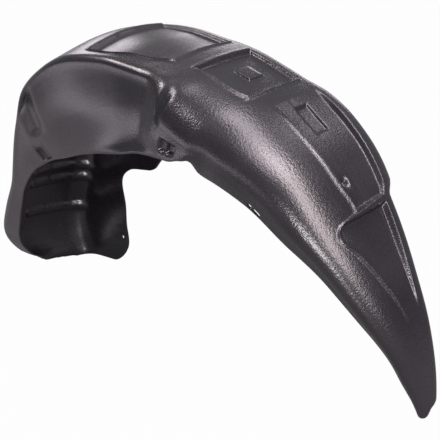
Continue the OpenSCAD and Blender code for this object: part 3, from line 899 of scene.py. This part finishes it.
@dataclass(frozen=True)
class Lamp:
    """One soft lamp: where it hangs as seen from the object, its size and distance in m, and its light.

    A lamp that lies flat shines straight up. The others face the object.
    """

    azimuth: float
    elevation: float
    size: Span
    radiance: float
    colour: tuple[float, float, float]
    distance: float = 2.2
    lies_flat: bool = False

    @property
    def power(self) -> float:
        """The power in W that gives the radiance."""
        return math.pi * self.size[0] * self.size[1] * self.radiance


class SoftLamp(Enum):
    """The studio's soft lamps, by azimuth from +Y towards +X."""

    KEY = Lamp(99.0, 35.0, (0.65, 2.6), 13.5, (1.0, 0.88, 0.90))
    GLOW = Lamp(128.0, 60.0, (1.0, 1.0), 6.0, (1.0, 0.88, 0.93))
    TOP = Lamp(102.0, 84.0, (0.7, 2.0), 8.0, (1.0, 0.89, 0.96))
    FRONT = Lamp(132.0, -3.0, (0.42, 0.5), 24.0, (1.0, 0.94, 0.96), 1.6)
    BACK = Lamp(-36.0, 15.0, (1.3, 0.36), 3.2, (1.0, 0.92, 1.02))
    CORNER = Lamp(-69.0, 19.0, (0.6, 0.45), 4.6, (1.0, 0.92, 1.0))
    LEFT = Lamp(-118.0, 43.0, (0.45, 0.4), 22.0, (1.0, 0.90, 0.93))
    LOW = Lamp(-151.0, -5.0, (1.5, 0.22), 2.1, (1.0, 0.90, 1.02), 1.2)
    RIDGE = Lamp(15.0, 60.0, (0.4, 0.35), 5.5, (1.0, 0.90, 0.98))
    APRON = Lamp(-130.0, -14.0, (1.1, 1.0), 0.2, (1.0, 0.90, 1.0), 0.95, True)


@dataclass
class Studio:
    """The pale floor, the white backdrop, the soft lamps and the camera."""

    floor_drop: float = 0.004
    floor_size: float = 4.0
    floor_white: float = 0.98
    gloss_white: float = 0.1
    floor_grey: float = 0.16
    middle: tuple[float, float, float] = (0.05, -0.09, 0.15)
    backdrop_way: tuple[float, float, float] = (-0.5, 0.87, 0.0)
    room_light: float = 0.133
    backdrop_light: float = 0.222
    ceiling_light: float = 0.444
    below_light: float = 0.222
    backdrop_edge: Span = (0.2, 0.75)
    ceiling_edge: Span = (0.5, 0.95)
    below_edge: Span = (-0.02, -0.1)
    eye: tuple[float, float, float] = (1.188, -1.035, 0.835)
    azimuth: float = 50.0
    elevation: float = 25.0
    focal_px: float = 1250.0
    frame_px: float = 440.0
    sensor: float = 36.0

    def build(self) -> None:
        """Makes the floor, surroundings, lamps and camera."""
        self._floor()
        self._surroundings()
        for lamp in SoftLamp:
            self._hang(lamp)
        self._camera()

    def _seen(self, shader: Shader) -> Value:
        """Returns how much a ray sees of the white: all from the camera and through glass, less in gloss."""
        path = "ShaderNodeLightPath"
        seen = shader.node(path, out="Is Camera Ray") + shader.node(path, out="Is Transmission Ray")
        return shader.ramp(seen, 0.0, 1.0) + shader.node(path, out="Is Glossy Ray") * self.gloss_white

    def _floor(self) -> None:
        """Makes the floor, white to the camera but for the object's faint shadow."""
        shape = bmesh.new()
        bmesh.ops.create_grid(shape, x_segments=1, y_segments=1, size=self.floor_size / 2)
        low = CAD_BOX[0].z - self.floor_drop
        bmesh.ops.translate(shape, vec=(0.0, 0.0, low), verts=shape.verts)
        mesh = bpy.data.meshes.new("floor")
        shape.to_mesh(mesh)
        shape.free()
        floor = bpy.data.objects.new("floor", mesh)
        bpy.context.scene.collection.objects.link(floor)
        pale = bpy.data.materials.new("pale_floor")
        shader = Shader(pale)
        grey = (self.floor_grey, self.floor_grey, self.floor_grey, 1.0)
        matt = shader.node("ShaderNodeBsdfDiffuse", {}, {"Color": grey})
        glow = shader.node("ShaderNodeEmission", {}, {"Color": (1.0, 1.0, 1.0, 1.0), "Strength": 1.0})
        share = self._seen(shader) * self.floor_white
        shader.close(shader.node("ShaderNodeMixShader", {}, {0: share, 1: matt, 2: glow}))
        floor.data.materials.append(pale)

    def _surroundings(self) -> None:
        """Makes the room: a white backdrop behind, a soft ceiling and a darker room in front."""
        world = bpy.data.worlds.new("surroundings")
        shader = Shader(world)
        way = shader.node("ShaderNodeTexCoord", out="Generated")
        facing = shader.node(
            "ShaderNodeVectorMath", {"operation": "DOT_PRODUCT"}, {0: way, 1: self.backdrop_way}, "Value",
        )
        rising = shader.node(
            "ShaderNodeVectorMath", {"operation": "DOT_PRODUCT"}, {0: way, 1: (0.0, 0.0, 1.0)}, "Value",
        )
        backdrop = shader.ramp(facing, *self.backdrop_edge)
        below = shader.ramp(rising, *self.below_edge)
        ceiling = shader.ramp(rising, *self.ceiling_edge)
        room = self.room_light + ceiling * self.ceiling_light
        room = room + backdrop * self.backdrop_light + below * self.below_light
        level = shader.node("ShaderNodeMix", {"data_type": "FLOAT"}, {0: self._seen(shader), 2: room, 3: 1.0})
        shader.close(shader.node("ShaderNodeBackground", {}, {"Strength": level}))
        bpy.context.scene.world = world

    def _hang(self, kind: SoftLamp) -> None:
        """Makes one soft lamp that faces the object."""
        lamp = kind.value
        turn, rise = math.radians(lamp.azimuth), math.radians(lamp.elevation)
        way = Vector((math.sin(turn) * math.cos(rise), math.cos(turn) * math.cos(rise), math.sin(rise)))
        name = kind.name.lower()
        data = bpy.data.lights.new(name, "AREA")
        data.shape = "RECTANGLE"
        data.size, data.size_y = lamp.size
        data.energy = lamp.power
        data.color = lamp.colour
        held = bpy.data.objects.new(name, data)
        held.location = Vector(self.middle) + way * lamp.distance
        facing = Vector((0.0, 0.0, 1.0)) if lamp.lies_flat else -way
        held.rotation_euler = facing.to_track_quat("-Z", "Y").to_euler()
        held.visible_camera = False
        bpy.context.scene.collection.objects.link(held)

    def _camera(self) -> None:
        """Makes the camera where the photograph was taken from."""
        turn, rise = math.radians(self.azimuth), math.radians(self.elevation)
        back = Vector((math.sin(turn) * math.cos(rise), -math.cos(turn) * math.cos(rise), math.sin(rise)))
        data = bpy.data.cameras.new("camera")
        data.sensor_width = self.sensor
        data.lens = self.focal_px / self.frame_px * self.sensor
        camera = bpy.data.objects.new("camera", data)
        camera.location = self.eye
        camera.rotation_mode = "QUATERNION"
        camera.rotation_quaternion = (-back).to_track_quat("-Z", "Y")
        bpy.context.scene.collection.objects.link(camera)
        bpy.context.scene.camera = camera


def main() -> None:
    """Builds the studio and the liner."""
    logging.basicConfig(level=logging.INFO, format="%(name)s: %(message)s")
    bpy.context.scene.view_settings.view_transform = "Standard"
    Studio().build()
    sheet = MouldedSheet().build()
    sheet.data.materials.clear()
    sheet.data.materials.append(MouldedPlastic().material())
    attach(sheet, "root")
    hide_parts(NODE)
    log.info("%s: %d faces", sheet.name, len(sheet.data.polygons))


if __name__ == "__main__":
    main()
